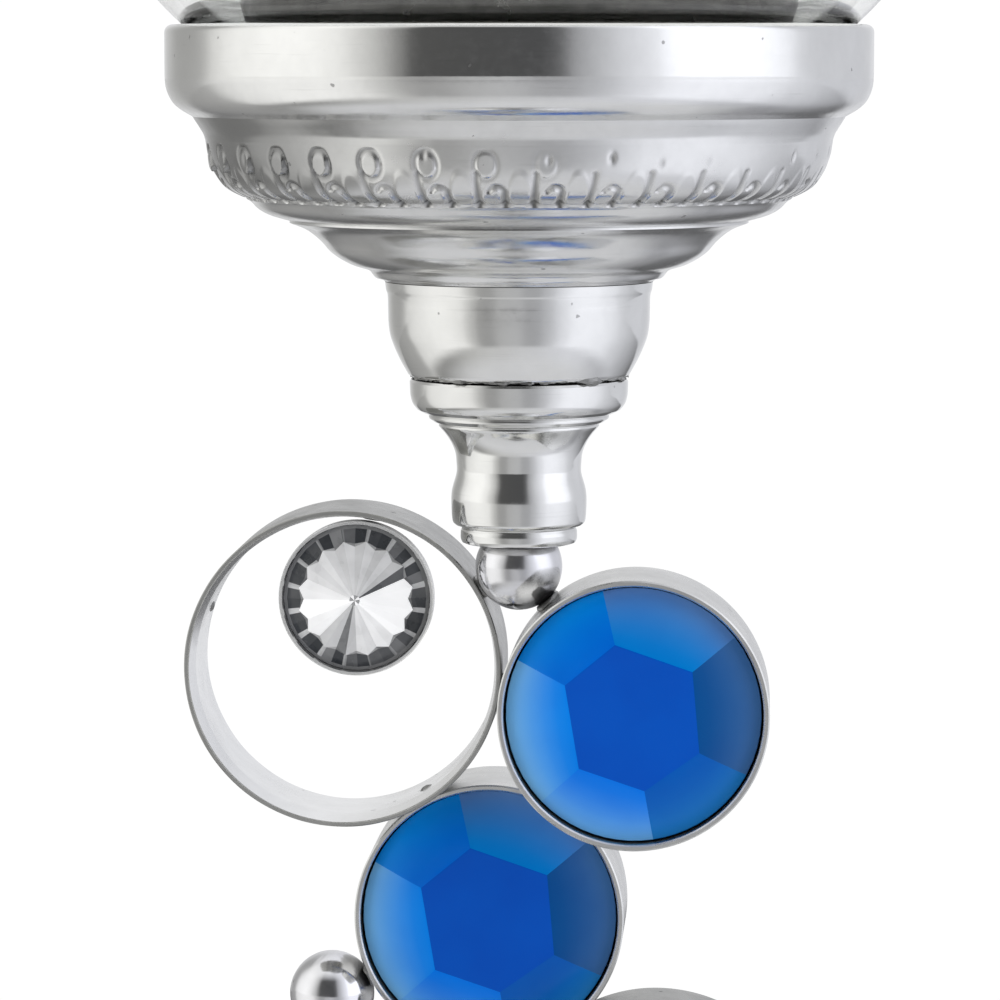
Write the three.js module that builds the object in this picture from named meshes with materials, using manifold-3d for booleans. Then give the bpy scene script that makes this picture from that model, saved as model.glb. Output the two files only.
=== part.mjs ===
// Votive candle holder: a jewelled stem of soldered rings, balls and set stones between a turned
// foot and a candle dish, with a clear glass globe and a candle in a metal tin.
// Millimetres, +Z up, origin at the centre of the underside of the foot.
import * as THREE from 'three';
import { mergeVertices } from 'three/addons/utils/BufferGeometryUtils.js';
import Module from 'manifold-3d';

const wasm = await Module();
wasm.setup();

// ---- Driving dimensions ----
const GAP = 0.3; // clearance left where two pieces are soldered, seated or stacked
const JOIN_Z = 157; // height of the neck's underside, where the jewelled part begins
const RIM_Z = JOIN_Z + 51.8; // top edge of the dish band
const RIM_R = 35.2; // outer radius of the dish band
const PAN_FLOOR_Z = JOIN_Z + 45.8; // top face of the pan that carries the glass
const BOLT_R = 3; // stud that holds the turned pieces together
const BORE_R = 3.4; // clearance hole for it
const BALL_R = 4.4; // soldered balls
const BALL_SEAT = 2.4; // from a neck's end face to the centre of the ball seated in it
const RING_R = 16.1; // open rings cut from tube
const RING_WALL = 0.85;
const BAND_DEPTH = 12.5; // every ring and bezel is cut to this depth
const STONE_R = 12.7; // faceted stones
const STONE_SET = 1.1; // from a bezel's edge down to the stone's girdle
const CRYSTAL_R = 7.2;
const CRYSTAL_CUP_R = 7.9;
const GLASS_R = 49; // outer radius of the globe
const GLASS_WALL = 2.7;
const GLASS_CENTRE_Z = RIM_Z + 35.8;
const GLASS_FOOT_Z = PAN_FLOOR_Z + GAP;
const GLASS_FLOOR_Z = PAN_FLOOR_Z + 4.8; // top of the thick bottom of the globe
const GLASS_MOUTH_Z = RIM_Z + 70.5;
const CANDLE_R = 28; // large tealight
const CANDLE_H = 20;
const FOOT_R = 45; // outer radius of the base
const FINE = 40; // segments round a thin open ring
const LARGE = 28; // segments round a large turned piece
const MEDIUM = 20;
const SMALL = 12;

// Bezels and rings: centre x and z (z counted from JOIN_Z), and y of the front edge
const BEZELS = [
  { x: 11.8, z: -16.25, front: -9, r: 13.5 },
  { x: -3.45, z: -39.7, front: 6.5, r: 13.9 },
  { x: -16.3, z: -64.6, front: -8.5, r: 13.5 },
  { x: -3.6, z: -88.95, front: -6.25, r: 13.5 },
];
const RINGS = [
  { x: -17.9, z: -13.05, front: 0, crystal: { x: 1.2, z: 6.95 } },
  { x: 13.75, z: -64.6, front: 2.5, crystal: { x: 5, z: -4.9 } },
];
const BALLS = [
  { x: 0, y: 0, z: -BALL_SEAT },
  { x: -19.95, y: 9.5, z: -48.25 },
  { x: 14.3, y: 0, z: -85.4 },
  { x: 0, y: 0, z: -106.8 },
];

// ---- Materials ----
const COLOURS = {
  nickel: { color: 0xc4c4c2, roughness: 0.25, metalness: 1 },
  steel: { color: 0xa9a9ac, roughness: 0.2, metalness: 1 },
  iron: { color: 0x55565a, roughness: 0.7, metalness: 0.8 },
  blue: { color: 0x0658c0, roughness: 0.15, metalness: 0 },
  crystal: { color: 0xdfe3e8, roughness: 0.05, metalness: 0.1 },
  glass: { color: 0xf1f5f4, roughness: 0.02, metalness: 0, transparent: true, opacity: 0.35 },
  tin: { color: 0x8e8f92, roughness: 0.35, metalness: 1 },
  wax: { color: 0xf0ebdc, roughness: 0.5, metalness: 0 },
  wick: { color: 0xd9d2bf, roughness: 0.9, metalness: 0 },
  felt: { color: 0x2a2c30, roughness: 1, metalness: 0 },
};

const group = new THREE.Group();

// ---- Helpers ----

// Adds one named piece with a material of its own
function piece(name, geometry, colour) {
  const mesh = new THREE.Mesh(geometry, new THREE.MeshStandardMaterial(COLOURS[colour]));
  mesh.name = name;
  group.add(mesh);
  return mesh;
}

// Turned piece on the Z axis: points are [radius, height], listed from the bottom up the outside
function turned(points, segments) {
  const outline = points.map(([r, z]) => new THREE.Vector2(r, z));
  return new THREE.LatheGeometry(outline, segments).rotateX(Math.PI / 2);
}

// Turned piece whose outline goes once round and closes on its first point
function turnedRing(points, segments) {
  return turned([...points, points[0]], segments);
}

// Lays a piece turned on Z down, so that its top faces -Y, the front
function faceFront(geometry) {
  return geometry.rotateX(Math.PI / 2);
}

// Points of a circular arc in the outline plane, both ends included
function arc(centreR, centreZ, radius, from, to, steps) {
  const angles = Array.from({ length: steps + 1 }, (_, i) => from + ((to - from) * i) / steps);
  return angles.map((a) => [centreR + radius * Math.cos(a), centreZ + radius * Math.sin(a)]);
}

// Angle on a circle of this radius at a height above its centre
function angleAt(radius, height) {
  return Math.asin(height / radius);
}

function hexPrism(acrossCorners, z0, z1) {
  const height = z1 - z0;
  const prism = new THREE.CylinderGeometry(acrossCorners, acrossCorners, height, 6);
  return prism.rotateX(Math.PI / 2).translate(0, 0, z0 + height / 2);
}

function disc(radius, z0, z1, segments) {
  return turned([[0, z0], [radius, z0], [radius, z1], [0, z1]], segments);
}

function tube(inner, outer, z0, z1, segments) {
  return turnedRing([[inner, z0], [outer, z0], [outer, z1], [inner, z1]], segments);
}

function toSolid(geometry) {
  const bare = new THREE.BufferGeometry();
  bare.setAttribute('position', geometry.toNonIndexed().getAttribute('position'));
  const merged = mergeVertices(bare, 1e-3);
  return new wasm.Manifold(
    new wasm.Mesh({
      numProp: 3,
      vertProperties: merged.attributes.position.array,
      triVerts: new Uint32Array(merged.index.array),
    }),
  );
}

function fromSolid(solid) {
  const { vertProperties, triVerts } = solid.getMesh();
  const geometry = new THREE.BufferGeometry();
  geometry.setAttribute('position', new THREE.BufferAttribute(vertProperties, 3));
  geometry.setIndex(new THREE.BufferAttribute(triVerts, 1));
  return geometry;
}

// ---- Candle dish ----

function rimBand() {
  const inside = RIM_R - 1.2;
  const bottom = RIM_Z - 9.2;
  return turnedRing(
    [
      [inside, bottom],
      [RIM_R - 2.4, bottom],
      [RIM_R - 0.9, RIM_Z - 8.1],
      [RIM_R - 0.2, RIM_Z - 6],
      [RIM_R, RIM_Z - 1.2],
      [RIM_R - 0.4, RIM_Z],
      [inside, RIM_Z],
    ],
    LARGE,
  );
}

function dishPan() {
  const radius = RIM_R - 1.6;
  const wall = 0.9;
  const under = PAN_FLOOR_Z - 1.2;
  return turned(
    [
      [0, under],
      [radius - 1, under],
      [radius, under + 1],
      [radius, RIM_Z - 0.8],
      [radius - wall, RIM_Z - 0.8],
      [radius - wall, PAN_FLOOR_Z + 1],
      [radius - wall - 1, PAN_FLOOR_Z],
      [0, PAN_FLOOR_Z],
    ],
    LARGE,
  );
}

// Shell of the stamped cup, open at the top under the pan, with a bolt hole in its floor
function embossedCup() {
  const top = RIM_Z - 9.2 - GAP;
  const base = JOIN_Z + 32.6;
  const wall = 1.3;
  const outside = [
    [24.4, base],
    [26.2, base + 1.4],
    [28.8, base + 3.3],
    [30.6, base + 5.5],
    [31.6, base + 8.2],
    [32.6, top],
  ];
  const inside = outside.slice(1).map(([r, z]) => [r - wall, z]).reverse();
  return turnedRing([[BORE_R, base], ...outside, ...inside, [BORE_R, base + wall]], LARGE);
}

function ogeeCollar() {
  const top = JOIN_Z + 32.6 - GAP;
  const bottom = JOIN_Z + 26.4;
  return turnedRing(
    [
      [BORE_R, bottom],
      [14, bottom],
      [15, bottom + 1.4],
      [18.6, bottom + 2.6],
      [20.4, bottom + 4.4],
      [22.9, top],
      [BORE_R, top],
    ],
    LARGE,
  );
}

function bulbKnop() {
  const top = JOIN_Z + 26.4 - GAP;
  const bottom = JOIN_Z + 16.9;
  return turnedRing(
    [
      [BORE_R, bottom],
      [11.2, bottom],
      [12.1, bottom + 1.8],
      [13, bottom + 4.2],
      [13.2, bottom + 7.4],
      [13.5, top],
      [BORE_R, top],
    ],
    MEDIUM,
  );
}

// Outline of a neck from the ball seat up to its collar; height counts from the seat's end face
function neckOutline() {
  const seatR = BALL_R + GAP;
  const seatFrom = angleAt(seatR, BALL_SEAT);
  const seat = arc(0, -BALL_SEAT, seatR, Math.PI / 2, seatFrom, 4);
  return [
    ...seat,
    [5.7, 0],
    [6, 1.4],
    [6.8, 2.6],
    [6.8, 5.3],
    [6.3, 8.6],
    [7.4, 11],
    [9.4, 13],
    [11, 14.6],
    [11.1, 16.6],
  ];
}

const NECK_H = 16.6;
const NECK_BORE_Z = 8; // how deep the stud may reach towards the ball

function upperNeck() {
  const bore = [[BORE_R, NECK_H], [BORE_R, NECK_BORE_Z], [0, NECK_BORE_Z]];
  return turned([...neckOutline(), ...bore], MEDIUM).translate(0, 0, JOIN_Z);
}

function upperBolt() {
  const headZ = JOIN_Z + 35.4;
  const shank = disc(BOLT_R, JOIN_Z + NECK_BORE_Z + GAP, headZ + 1, SMALL);
  return fromSolid(toSolid(shank).add(toSolid(hexPrism(6, headZ, headZ + 4))));
}

function upperWasher() {
  return tube(BORE_R, 7.5, JOIN_Z + 34.2, JOIN_Z + 35.1, SMALL);
}

// ---- Jewelled stem ----

function ball({ x, y, z }) {
  const sphere = new THREE.SphereGeometry(BALL_R, MEDIUM, 10).rotateX(Math.PI / 2);
  return sphere.translate(x, y, JOIN_Z + z);
}

// Moves a piece turned on its own axis, front edge at height 0, to its place in the stem
function setInStem(geometry, x, z, front) {
  return faceFront(geometry).translate(x, front, JOIN_Z + z);
}

function openRing({ x, z, front }) {
  return setInStem(tube(RING_R - RING_WALL, RING_R, -BAND_DEPTH, 0, FINE), x, z, front);
}

// Deep band with a ledge inside that carries a stone at the front and one at the back
function bezel({ x, z, front, r }) {
  const bore = STONE_R + GAP;
  const ledge = bore - 1.6;
  const ledgeZ = -STONE_SET - 1.5 - GAP;
  const outline = [
    [bore, 0],
    [bore, ledgeZ],
    [ledge, ledgeZ],
    [ledge, -BAND_DEPTH - ledgeZ],
    [bore, -BAND_DEPTH - ledgeZ],
    [bore, -BAND_DEPTH],
    [r, -BAND_DEPTH],
    [r, 0],
  ];
  return setInStem(turnedRing(outline, LARGE), x, z, front);
}

// Round stone with a hexagonal table, six crown facets and a flat back; its front faces up
function stoneShape() {
  const crown = 2.4;
  const back = -STONE_SET - 1.5;
  const table = 0.58 * STONE_R;
  const girdle = STONE_R / Math.cos(Math.PI / 6);
  const disk = toSolid(disc(STONE_R, back, back + crown + 1.5, LARGE));
  const facets = new THREE.CylinderGeometry(table, girdle, crown, 6).rotateX(Math.PI / 2);
  const crownSolid = toSolid(facets.translate(0, 0, -STONE_SET + crown / 2));
  const belt = toSolid(disc(STONE_R, back, -STONE_SET + 0.05, LARGE));
  return disk.intersect(crownSolid.add(belt));
}

const STONE_TURN = THREE.MathUtils.degToRad(-4);

function frontStone({ x, z, front }) {
  return setInStem(fromSolid(stoneShape()).rotateZ(STONE_TURN), x, z, front);
}

function rearStone({ x, z, front }) {
  const shape = faceFront(fromSolid(stoneShape()).rotateZ(STONE_TURN)).rotateZ(Math.PI);
  return shape.translate(x, front + BAND_DEPTH, JOIN_Z + z);
}

const CRYSTAL_FRONT = 2.5; // from the ring's front edge to the crystal cup's edge
const CRYSTAL_CUP_DEPTH = 4;

function crystalCup(ring) {
  const inner = CRYSTAL_R + GAP;
  const outline = [
    [0, -CRYSTAL_CUP_DEPTH],
    [CRYSTAL_CUP_R - 1.5, -CRYSTAL_CUP_DEPTH],
    [CRYSTAL_CUP_R, -2.4],
    [CRYSTAL_CUP_R, 0],
    [inner, 0],
    [inner, -1.6],
    [CRYSTAL_R - 2, -CRYSTAL_CUP_DEPTH + 1],
    [0, -CRYSTAL_CUP_DEPTH + 1],
  ];
  const { x, z } = ring.crystal;
  return setInStem(turned(outline, MEDIUM), ring.x + x, ring.z + z, ring.front + CRYSTAL_FRONT);
}

// Pointed crystal: a low cone of flat facets at the front, blunt behind
function crystal(ring) {
  const outline = [
    [0, -CRYSTAL_CUP_DEPTH + 1 + GAP],
    [CRYSTAL_R - 3, -CRYSTAL_CUP_DEPTH + 1.2 + GAP],
    [CRYSTAL_R, -1.4],
    [CRYSTAL_R, -0.6],
    [0.7 * CRYSTAL_R, 0.5],
    [0, 1.7],
  ];
  const { x, z } = ring.crystal;
  return setInStem(turned(outline, SMALL), ring.x + x, ring.z + z, ring.front + CRYSTAL_FRONT);
}

// ---- Foot ----

const LOWER_BALL_Z = JOIN_Z + BALLS[3].z;
const LOWER_NECK_TOP = LOWER_BALL_Z - BALL_SEAT;
const BASE_SHELL_TOP = LOWER_NECK_TOP - NECK_H - GAP;

// The upper neck turned over, with its bore at the bottom
function lowerNeck() {
  const outline = [...neckOutline(), [BORE_R, NECK_H], [BORE_R, NECK_BORE_Z], [0, NECK_BORE_Z]];
  return turned(outline, MEDIUM).rotateX(Math.PI).translate(0, 0, LOWER_NECK_TOP);
}

// Domed shell, open underneath, that repeats the lines of the dish upside down
function baseShell() {
  const wall = 1.4;
  const skirt = 1.5;
  const outside = [
    [FOOT_R - 0.6, skirt],
    [FOOT_R, skirt + 1.2],
    [FOOT_R - 0.4, 8.5],
    [FOOT_R - 3.6, 10.6],
    [FOOT_R - 5.4, 14.6],
    [FOOT_R - 10, 18.2],
    [29, 19.4],
    [23, 22.4],
    [17, 26],
    [13.4, BASE_SHELL_TOP],
  ];
  const inside = outside
    .slice(0, -1)
    .map(([r, z]) => [r - wall, z - (z > 15 ? wall : 0)])
    .reverse();
  const underTop = [BORE_R, BASE_SHELL_TOP - wall];
  const shoulder = [12.4, BASE_SHELL_TOP - wall];
  return turnedRing([...outside, [BORE_R, BASE_SHELL_TOP], underTop, shoulder, ...inside], LARGE);
}

function baseWeight() {
  return turnedRing(
    [[BORE_R, 4.3], [36, 4.3], [36, 12], [24, 17], [BORE_R, 17]],
    LARGE,
  );
}

function basePlate() {
  return tube(BORE_R, FOOT_R - 2.5, 2.8, 4, LARGE);
}

// Long bolt from under the plate up into the lower neck
function baseBolt() {
  return disc(BOLT_R, 1.8, LOWER_NECK_TOP - NECK_BORE_Z - GAP, SMALL);
}

function baseNut() {
  const nut = toSolid(hexPrism(5.6, 17.9 + GAP, 21.5));
  return fromSolid(nut.subtract(toSolid(disc(BORE_R, 17, 23, SMALL))));
}

function baseWasher() {
  return tube(BORE_R, 8, 17 + GAP, 17.9, SMALL);
}

function feltPad() {
  return turned([[0, 0], [FOOT_R - 3, 0], [FOOT_R - 3, 1.4], [0, 1.4]], LARGE);
}

// ---- Glass and candle ----

function glassGlobe() {
  const inner = GLASS_R - GLASS_WALL;
  const outerFoot = angleAt(GLASS_R, GLASS_FOOT_Z - GLASS_CENTRE_Z);
  const outerMouth = angleAt(GLASS_R, GLASS_MOUTH_Z - GLASS_CENTRE_Z);
  const innerMouth = angleAt(inner, GLASS_MOUTH_Z - GLASS_CENTRE_Z);
  const innerFloor = angleAt(inner, GLASS_FLOOR_Z - GLASS_CENTRE_Z);
  return turned(
    [
      [0, GLASS_FOOT_Z],
      ...arc(0, GLASS_CENTRE_Z, GLASS_R, outerFoot, 0, 5),
      ...arc(0, GLASS_CENTRE_Z, GLASS_R, 0, outerMouth, 4).slice(1),
      ...arc(0, GLASS_CENTRE_Z, inner, innerMouth, innerFloor, 9),
      [0, GLASS_FLOOR_Z],
    ],
    LARGE,
  );
}

const CANDLE_Z = GLASS_FLOOR_Z + GAP;
const TIN_WALL = 0.4;

function candleTin() {
  return turned(
    [
      [0, CANDLE_Z],
      [CANDLE_R - 1.6, CANDLE_Z],
      [CANDLE_R, CANDLE_Z + 2.6],
      [CANDLE_R, CANDLE_Z + CANDLE_H],
      [CANDLE_R - TIN_WALL, CANDLE_Z + CANDLE_H],
      [CANDLE_R - TIN_WALL, CANDLE_Z + 2.8],
      [CANDLE_R - 1.8, CANDLE_Z + TIN_WALL],
      [0, CANDLE_Z + TIN_WALL],
    ],
    LARGE,
  );
}

const WAX_TOP = CANDLE_Z + CANDLE_H - 3;
const WICK_R = 0.8;

function wax() {
  const radius = CANDLE_R - TIN_WALL - GAP;
  return turnedRing(
    [
      [6.4, CANDLE_Z + TIN_WALL + GAP],
      [radius - 2, CANDLE_Z + TIN_WALL + GAP],
      [radius, CANDLE_Z + 3.4],
      [radius, WAX_TOP],
      [WICK_R + GAP, WAX_TOP],
      [WICK_R + GAP, CANDLE_Z + 5.2],
      [6.4, CANDLE_Z + 2.2],
    ],
    LARGE,
  );
}

function wickSustainer() {
  const foot = CANDLE_Z + TIN_WALL + GAP;
  return turnedRing(
    [[WICK_R + GAP, foot], [6, foot], [6, foot + 0.5], [1.6, foot + 0.8], [1.4, foot + 3], [WICK_R + GAP, foot + 3]],
    SMALL,
  );
}

function wick() {
  return disc(WICK_R, CANDLE_Z + 1, WAX_TOP + 8, 12);
}

// ---- Assembly ----

piece('rim_band', rimBand(), 'nickel');
piece('dish_pan', dishPan(), 'nickel');
piece('embossed_cup', embossedCup(), 'nickel');
piece('ogee_collar', ogeeCollar(), 'nickel');
piece('bulb_knop', bulbKnop(), 'nickel');
piece('upper_neck', upperNeck(), 'nickel');
piece('upper_bolt', upperBolt(), 'steel');
piece('upper_washer', upperWasher(), 'steel');

BALLS.forEach((place, i) => piece(`ball_${i + 1}`, ball(place), 'steel'));

RINGS.forEach((ring, i) => {
  piece(`ring_${i + 1}`, openRing(ring), 'nickel');
  piece(`crystal_cup_${i + 1}`, crystalCup(ring), 'nickel');
  piece(`crystal_${i + 1}`, crystal(ring), 'crystal');
});

BEZELS.forEach((setting, i) => {
  piece(`bezel_${i + 1}`, bezel(setting), 'nickel');
  piece(`stone_${i + 1}`, frontStone(setting), 'blue');
  piece(`rear_stone_${i + 1}`, rearStone(setting), 'blue');
});

piece('lower_neck', lowerNeck(), 'nickel');
piece('base_shell', baseShell(), 'nickel');
piece('base_weight', baseWeight(), 'iron');
piece('base_plate', basePlate(), 'iron');
piece('base_bolt', baseBolt(), 'steel');
piece('base_nut', baseNut(), 'steel');
piece('base_washer', baseWasher(), 'steel');
piece('felt_pad', feltPad(), 'felt');

piece('glass_globe', glassGlobe(), 'glass');
piece('candle_tin', candleTin(), 'tin');
piece('wax', wax(), 'wax');
piece('wick_sustainer', wickSustainer(), 'tin');
piece('wick', wick(), 'wick');

export default group;
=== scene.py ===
"""Looks of the votive candle holder: fine turned, stamped and faceted pieces over the CAD frame."""

import random
from math import asin, atan, atan2, cos, degrees, dist, exp, hypot, pi, radians, sin

import bpy
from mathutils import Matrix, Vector, noise


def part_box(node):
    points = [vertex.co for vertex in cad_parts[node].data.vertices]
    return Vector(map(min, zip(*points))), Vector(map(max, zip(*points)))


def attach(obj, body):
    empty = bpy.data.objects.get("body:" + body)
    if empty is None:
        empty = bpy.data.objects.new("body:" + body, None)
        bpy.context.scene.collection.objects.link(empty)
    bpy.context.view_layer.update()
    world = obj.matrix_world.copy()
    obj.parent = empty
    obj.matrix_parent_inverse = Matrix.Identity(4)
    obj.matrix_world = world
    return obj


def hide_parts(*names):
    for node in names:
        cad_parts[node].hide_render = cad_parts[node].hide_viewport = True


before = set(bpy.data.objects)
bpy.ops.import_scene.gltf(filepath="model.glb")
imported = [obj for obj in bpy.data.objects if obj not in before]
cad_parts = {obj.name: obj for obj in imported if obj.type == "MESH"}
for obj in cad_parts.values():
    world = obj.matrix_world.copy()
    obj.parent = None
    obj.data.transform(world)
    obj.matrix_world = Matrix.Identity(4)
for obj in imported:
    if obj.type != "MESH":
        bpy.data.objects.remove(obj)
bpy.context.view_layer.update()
random.seed(7)

MM = 0.001
TAU = 2 * pi
HOLLOW_DEPTH = 0.3      # a stamped groove this deep, in mm, is full of old polish
BORE = 3.4              # radius of the bolt hole through the turned pieces
RING_WALL = 0.85
CUP_LIP = 34.5          # top of the embossed cup's lip, above JOIN


# ---- places, read from the frame (mm)

def box_mm(node):
    low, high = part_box(node)
    return low / MM, high / MM


def round_of(node):
    """Centre (x, z), radius and the front and back y of a round piece that faces the front."""
    low, high = box_mm(node)
    return (low.x + high.x) / 2, (low.z + high.z) / 2, (high.x - low.x) / 2, low.y, high.y


JOIN = box_mm("upper_neck")[0].z          # underside of the upper neck's foot ring
RIM_TOP = box_mm("rim_band")[1].z
RIM_R = box_mm("rim_band")[1].x
FOOT_TOP = box_mm("lower_neck")[1].z      # top of the lower neck's foot ring
SHELL_TOP = box_mm("base_shell")[1].z
SHELL_R = box_mm("base_shell")[1].x
BALL_R = round_of("ball_1")[2]


# ---- outlines

def between(t, a, b, low, high):
    """On the line that is a at low and b at high, the point at t."""
    return a * ((high - t) / (high - low)) + b * ((t - low) / (high - low))


def curve(points, steps):
    """Points on a smooth line through the given ones (centripetal Catmull-Rom), ends included."""
    p = [Vector(q) for q in points]
    p = [2 * p[0] - p[1], *p, 2 * p[-1] - p[-2]]
    out = []
    for i in range(1, len(p) - 2):
        knots = [0.0]
        for a, b in zip(p[i - 1:i + 2], p[i:i + 3]):
            knots.append(knots[-1] + max((b - a).length, 1e-6) ** 0.5)
        t0, t1, t2, t3 = knots
        for s in range(steps):
            t = t1 + (t2 - t1) * s / steps
            a1 = between(t, p[i - 1], p[i], t0, t1)
            a2 = between(t, p[i], p[i + 1], t1, t2)
            a3 = between(t, p[i + 1], p[i + 2], t2, t3)
            b1 = between(t, a1, a2, t0, t2)
            b2 = between(t, a2, a3, t1, t3)
            out.append(tuple(between(t, b1, b2, t1, t2)))
    return [*out, tuple(p[-2])]


def arc(centre, radius, start, end, steps=12):
    """Points on an arc in the outline plane; the angles are in degrees, 0 pointing outwards."""
    angles = [radians(start + (end - start) * i / steps) for i in range(steps + 1)]
    return [(centre[0] + radius * cos(a), centre[1] + radius * sin(a)) for a in angles]


def held(outline, margin=0.1, closed=True):
    """Adds a point close to each end of every long straight, so that smooth shading leaves it straight."""
    out = []
    ends = outline[1:] + outline[:1] if closed else outline[1:]
    for a, b in zip(outline, ends):
        out.append(a)
        a, b = Vector(a), Vector(b)
        if (b - a).length > 5 * margin:
            step = (b - a).normalized() * margin
            out += [tuple(a + step), tuple(b - step)]
    return out if closed else [*out, outline[-1]]


# ---- mesh builders

def new_object(name, data):
    made = bpy.data.objects.new(name, data)
    bpy.context.collection.objects.link(made)
    return made


def make(name, verts_mm, faces, material, slot="steel", body="stand", sharp=32, pushes=()):
    """A piece from points in mm and faces; creases over `sharp` degrees stay crisp. material is one or a
    list. pushes says how far each point stands out; low points are kept as 'hollow', where old polish
    gathers."""
    mesh = bpy.data.meshes.new(name)
    mesh.from_pydata([Vector(v) * MM for v in verts_mm], [], faces)
    mesh.validate()
    mesh.shade_smooth()
    mesh.set_sharp_from_angle(angle=radians(sharp))
    piece = new_object(name, mesh)
    for m in material if isinstance(material, list) else [material]:
        mesh.materials.append(m)
    if pushes:
        hollow = mesh.attributes.new("hollow", "FLOAT", "POINT")
        for i, push in enumerate(pushes):
            hollow.data[i].value = min(1.0, max(0.0, -push / HOLLOW_DEPTH))
    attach(piece, body)
    return piece


def stand_in(cad_node, verts_mm, faces, material, slot="nickel", **more):
    """A fine piece shown in the place of one CAD node."""
    piece = make(f"{cad_node}_fine", verts_mm, faces, material, slot, **more)
    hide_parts(cad_node)
    return piece


def paint_row(piece, row, segments, finish):
    """Gives one turned row of faces another of the piece's materials."""
    for polygon in piece.data.polygons[row * segments:(row + 1) * segments]:
        polygon.material_index = finish


def tube_faces(rows, cols, first=0):
    """Faces between rows of points, each a closed loop of cols points, counted from point first."""
    faces = []
    for j in range(rows):
        for k in range(cols):
            n = (k + 1) % cols
            a, b = first + j * cols, first + (j + 1) * cols
            faces.append([a + k, a + n, b + n, b + k])
    return faces


def ripple(angle, scale, up):
    """Noise on a circle: the larger scale is, the more waves it has round it."""
    return noise.noise(Vector((cos(angle) * scale, sin(angle) * scale, up)))


def revolve(outline, segments, closed=False, relief=None):
    """Points, faces and pushes of an outline of (radius, height) turned about Z. An outline that isn't
    closed starts and ends on the axis. relief(angle, index) says how far a point is pushed outwards."""
    rows, verts, pushes = [], [], []
    count = len(outline)
    for i, (r, z) in enumerate(outline):
        if r < 1e-5:
            rows.append([len(verts)] * segments)
            verts.append((0.0, 0.0, z))
            pushes.append(0.0)
            continue
        before = outline[(i - 1) % count] if closed or i else outline[i]
        after = outline[(i + 1) % count] if closed or i < count - 1 else outline[i]
        along = Vector((after[0] - before[0], after[1] - before[1])).normalized()
        row = []
        for k in range(segments):
            a = TAU * k / segments
            push = relief(a, i) if relief else 0.0
            rr, zz = r + along.y * push, z - along.x * push
            row.append(len(verts))
            verts.append((rr * cos(a), rr * sin(a), zz))
            pushes.append(push)
        rows.append(row)
    faces = []
    for i in range(count if closed else count - 1):
        low, high = rows[i], rows[(i + 1) % count]
        for k in range(segments):
            n = (k + 1) % segments
            loop = [low[k], low[n], high[n], high[k]]
            face = [v for j, v in enumerate(loop) if v != loop[j - 1]]
            if len(face) > 2:
                faces.append(face)
    return verts, faces, pushes


def laid_forward(verts, centre_x, front_y, centre_z):
    """Turns points made about Z so that +Z faces the front (-Y), and puts them in place."""
    return [(x + centre_x, front_y - z, y + centre_z) for x, y, z in verts]


def laid_back(verts, centre_x, back_y, centre_z):
    """The same, facing the back (+Y)."""
    return [(centre_x - x, back_y + z, y + centre_z) for x, y, z in verts]


def lifted(verts, z0):
    return [(x, y, z + z0) for x, y, z in verts]


def turned_over(verts, z0):
    """Upside down, so that height 0 comes to z0 and height h to z0 - h."""
    return [(x, -y, z0 - z) for x, y, z in verts]


# ---- materials

def new_material(name):
    mat = bpy.data.materials.new(name)
    mat.use_nodes = True
    tree = mat.node_tree
    return mat, tree, tree.nodes["Principled BSDF"]


def feed(tree, target, inputs):
    """Sets a node's inputs, each by its name or number, to a value or to another node's output."""
    for key, value in inputs.items():
        if isinstance(value, bpy.types.NodeSocket):
            tree.links.new(value, target.inputs[key])
        else:
            target.inputs[key].default_value = value


def node(tree, kind, inputs={}, **settings):
    """Adds a shader node with these inputs, as feed() takes them."""
    made = tree.nodes.new("ShaderNode" + kind)
    for key, value in settings.items():
        setattr(made, key, value)
    feed(tree, made, inputs)
    return made


def maths(tree, operation, a, b=0.0, c=0.0):
    return node(tree, "Math", {0: a, 1: b, 2: c}, operation=operation).outputs[0]


def object_mm(tree, stretch=(1, 1, 1)):
    """Object coordinates in millimetres, with each axis scaled by stretch."""
    place = node(tree, "TexCoord").outputs["Object"]
    return node(tree, "Mapping", {"Vector": place, "Scale": [s / MM for s in stretch]}).outputs[0]


def noise_of(tree, vector, scale, detail=3.0, rough=0.5):
    inputs = {"Vector": vector, "Scale": scale, "Detail": detail, "Roughness": rough}
    return node(tree, "TexNoise", inputs).outputs["Fac"]


def ramp(tree, value, low, high, out_low=0.0, out_high=1.0, kind="LINEAR"):
    inputs = {"Value": value, "From Min": low, "From Max": high, "To Min": out_low, "To Max": out_high}
    return node(tree, "MapRange", inputs, interpolation_type=kind).outputs["Result"]


def mix_colour(tree, factor, a, b):
    a, b = (c if isinstance(c, bpy.types.NodeSocket) else (*c, 1) for c in (a, b))
    return node(tree, "Mix", {0: factor, 6: a, 7: b}, data_type="RGBA").outputs[2]


def bump(tree, height, depth_mm, strength):
    inputs = {"Strength": strength, "Distance": depth_mm * MM, "Height": height}
    return node(tree, "Bump", inputs).outputs["Normal"]


def attribute(tree, name):
    return node(tree, "Attribute", attribute_name=name).outputs["Fac"]


def scaled(colour, factor):
    return tuple(c * factor for c in colour)


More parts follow.
